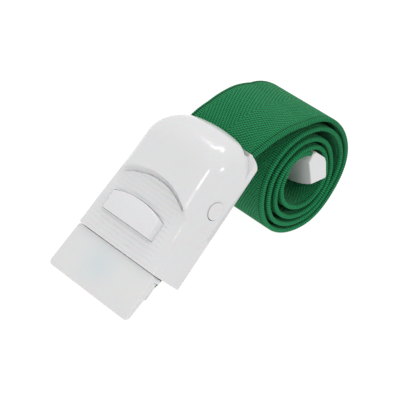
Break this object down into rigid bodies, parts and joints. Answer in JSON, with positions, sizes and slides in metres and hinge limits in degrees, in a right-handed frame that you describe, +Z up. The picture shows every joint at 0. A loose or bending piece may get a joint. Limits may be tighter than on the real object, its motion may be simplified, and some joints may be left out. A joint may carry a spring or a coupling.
{
  "type": "tourniquet",
  "caption": "Quick-release tourniquet: leaning plastic buckle with release pad, rocking cover and plug, on a coiled elastic strap with an end clip.",
  "frame": {"origin": "centre of the bounding box, on the surface the part lies on", "axes": "+X from the plug towards the coil of strap, +Y across the strap, +Z up"},
  "size_m": [0.0866, 0.0344, 0.0388],
  "materials": {
    "cover_shell": "satin",
    "clamp_bar": "brushed",
    "base_frame": "satin",
    "pivot_pin": "satin",
    "cover_spring_near": "bright wire",
    "cover_spring_far": "bright wire",
    "latch_leaf": "brushed",
    "latch_rivet_near": "brushed",
    "latch_rivet_far": "brushed",
    "release_pad": "satin",
    "pad_carrier": "satin",
    "pad_spring": "bright wire",
    "plug_cap": "satin",
    "plug_core": "satin",
    "strap_bar": "brushed",
    "strap_loop": "elastic twill",
    "loop_stitching": "sewn thread",
    "strap_run": "elastic twill",
    "strap_lead": "elastic twill",
    "strap_coil": "elastic twill",
    "strap_end": "elastic twill",
    "end_clip_inner": "satin",
    "end_clip_outer": "satin",
    "clip_pin_near": "satin",
    "clip_pin_far": "satin"
  },
  "bodies": {
    "base": {"base_frame": "base_frame", "pivot_pin": "pivot_pin", "cover_spring_near": "cover_spring_near", "cover_spring_far": "cover_spring_far", "latch_leaf": "latch_leaf", "latch_rivet_near": "latch_rivet_near", "latch_rivet_far": "latch_rivet_far", "pad_spring": "pad_spring", "strap_run": "strap_run", "strap_lead": "strap_lead", "strap_coil": "strap_coil", "strap_end": "strap_end", "end_clip_inner": "end_clip_inner", "end_clip_outer": "end_clip_outer", "clip_pin_near": "clip_pin_near", "clip_pin_far": "clip_pin_far"},
    "cover": {"cover_shell": "cover_shell", "clamp_bar": "clamp_bar"},
    "button": {"release_pad": "release_pad", "pad_carrier": "pad_carrier"},
    "plug": {"plug_cap": "plug_cap", "plug_core": "plug_core", "strap_bar": "strap_bar", "strap_loop": "strap_loop", "loop_stitching": "loop_stitching"}
  },
  "joints": [
    {"name": "cover_tilt", "type": "hinge", "parent": "base", "child": "cover", "pos_m": [-0.01125, 0, 0.0233], "axis": [0, -1, 0], "range_deg": [0, 3.5], "stiffness_Nm_per_rad": 0.05, "springref_deg": -11.46, "deforming": ["cover_spring_near", "cover_spring_far"]},
    {"name": "button_press", "type": "slide", "parent": "base", "child": "button", "axis": [0.6769, 0, -0.7361], "range_m": [0, 0.00095], "stiffness_N_per_m": 300, "springref_m": -0.001, "deforming": ["pad_spring", "latch_leaf"]},
    {"name": "plug_slide", "type": "slide", "parent": "base", "child": "plug", "axis": [-0.7361, 0, -0.6769], "range_m": [0, 0.014], "deforming": ["latch_leaf"]}
  ]
}
